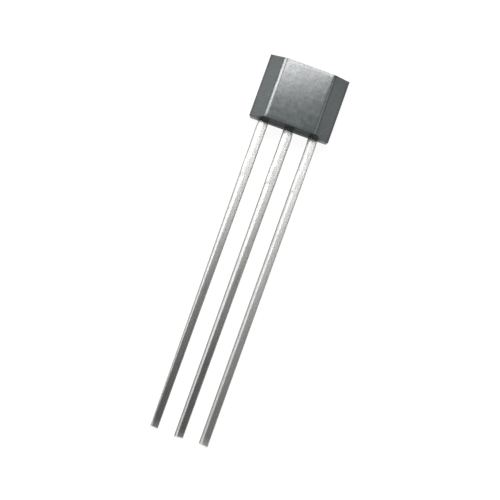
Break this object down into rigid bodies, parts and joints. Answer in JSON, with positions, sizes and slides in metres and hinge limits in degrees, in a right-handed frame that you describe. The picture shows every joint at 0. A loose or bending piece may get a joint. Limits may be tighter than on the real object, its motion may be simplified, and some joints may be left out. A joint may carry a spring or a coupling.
{
  "type": "hall effect sensor",
  "caption": "Flat bevelled moulded sensor body with straight rectangular leads in a row, reading a magnetic field through its front face.",
  "frame": {"origin": "centre of the body's flat back face, which lies on the surface", "axes": "+Z out of the sensing face, +Y towards the closed end of the body, leads along -Y, X across the leads"},
  "size_m": [0.004, 0.0193, 0.0015],
  "materials": {
    "moulding_compound": "dark grey filled epoxy with a fine spark-eroded matte texture",
    "tinned_lead": "satin tin plate over a copper alloy",
    "die_adhesive": "cured silver-filled adhesive",
    "silicon": "polished silicon",
    "gold_wire": "bright drawn gold"
  },
  "bodies": {
    "root": {"moulded_body": "moulding_compound", "supply_lead": "tinned_lead", "ground_lead": "tinned_lead", "output_lead": "tinned_lead", "die_attach": "die_adhesive", "hall_die": "silicon", "supply_wire": "gold_wire", "ground_wire": "gold_wire", "output_wire": "gold_wire"}
  },
  "joints": []
}
